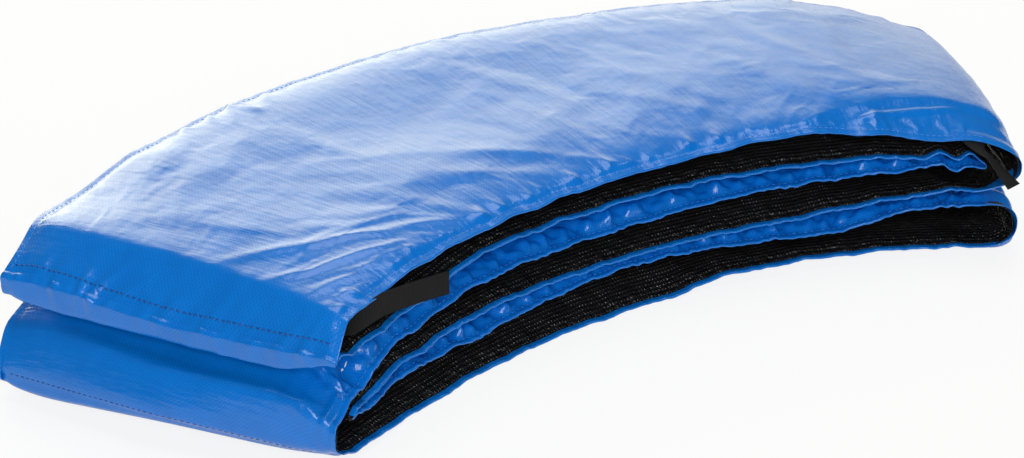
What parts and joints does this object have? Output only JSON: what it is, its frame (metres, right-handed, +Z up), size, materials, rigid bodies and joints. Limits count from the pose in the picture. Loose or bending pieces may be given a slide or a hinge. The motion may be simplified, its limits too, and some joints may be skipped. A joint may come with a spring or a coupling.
{
  "type": "folded trampoline edge pad",
  "caption": "Trampoline spring-cover ring of padded arc segments, folded in half and then zigzag into a curved stack, with blue coated cloth outside, black woven cloth inside and tie straps.",
  "frame": {"origin": "on the floor under the middle of the folded stack, half way across the pad", "axes": "+Z up, +X along the stack to the right, +Y from the hollow inner side to the outer side"},
  "size_m": [0.996, 0.4185, 0.1426],
  "materials": {
    "foam": "closed-cell foam",
    "cover_blue": "glossy coated cloth",
    "underside_black": "woven tape cloth",
    "webbing": "matt webbing"
  },
  "bodies": {
    "third_middle": {"foam_3": "foam", "cover_3": "cover_blue", "underside_3": "underside_black", "foam_4": "foam", "cover_4": "cover_blue", "underside_4": "underside_black", "cover_fold_1_4": "cover_blue", "underside_fold_1_4": "underside_black", "cover_fold_2_3": "cover_blue", "underside_fold_2_3": "underside_black", "cover_fold_3_6": "cover_blue", "underside_fold_3_6": "underside_black", "cover_fold_4_5": "cover_blue", "underside_fold_4_5": "underside_black", "strap_2_3": "webbing", "strap_3_6": "webbing"},
    "third_top": {"foam_1": "foam", "cover_1": "cover_blue", "underside_1": "underside_black", "foam_2": "foam", "cover_2": "cover_blue", "underside_2": "underside_black", "cover_fold_1_2": "cover_blue", "underside_fold_1_2": "underside_black", "strap_left_tab": "webbing", "strap_right_tab": "webbing"},
    "third_bottom": {"foam_5": "foam", "cover_5": "cover_blue", "underside_5": "underside_black", "foam_6": "foam", "cover_6": "cover_blue", "underside_6": "underside_black", "cover_fold_5_6": "cover_blue", "underside_fold_5_6": "underside_black", "strap_4_5": "webbing", "strap_5_6": "webbing"},
    "strap_left": {"strap_left_tail": "webbing"},
    "strap_right": {"strap_right_tail": "webbing"}
  },
  "joints": [
    {"name": "fold_top", "type": "hinge", "parent": "third_middle", "child": "third_top", "pos_m": [0.395, -0.10584, 0.07899], "axis": [0.5, 0.866, 0], "range_deg": [0, 180], "deforming": ["cover_fold_1_4", "underside_fold_1_4", "cover_fold_2_3", "underside_fold_2_3"]},
    {"name": "fold_bottom", "type": "hinge", "parent": "third_middle", "child": "third_bottom", "pos_m": [-0.395, -0.10584, 0.0361], "axis": [-0.5, 0.866, 0], "range_deg": [0, 180], "deforming": ["cover_fold_3_6", "underside_fold_3_6", "cover_fold_4_5", "underside_fold_4_5"]},
    {"name": "strap_left_swing", "type": "hinge", "parent": "third_top", "child": "strap_left", "pos_m": [-0.26067, -0.2214, 0.11153], "axis": [0, 0, -1], "range_deg": [0, 80]},
    {"name": "strap_right_swing", "type": "hinge", "parent": "third_top", "child": "strap_right", "pos_m": [0.30107, -0.24115, 0.10213], "axis": [-0.7572, 0.4154, 0.504], "range_deg": [0, 85]}
  ]
}
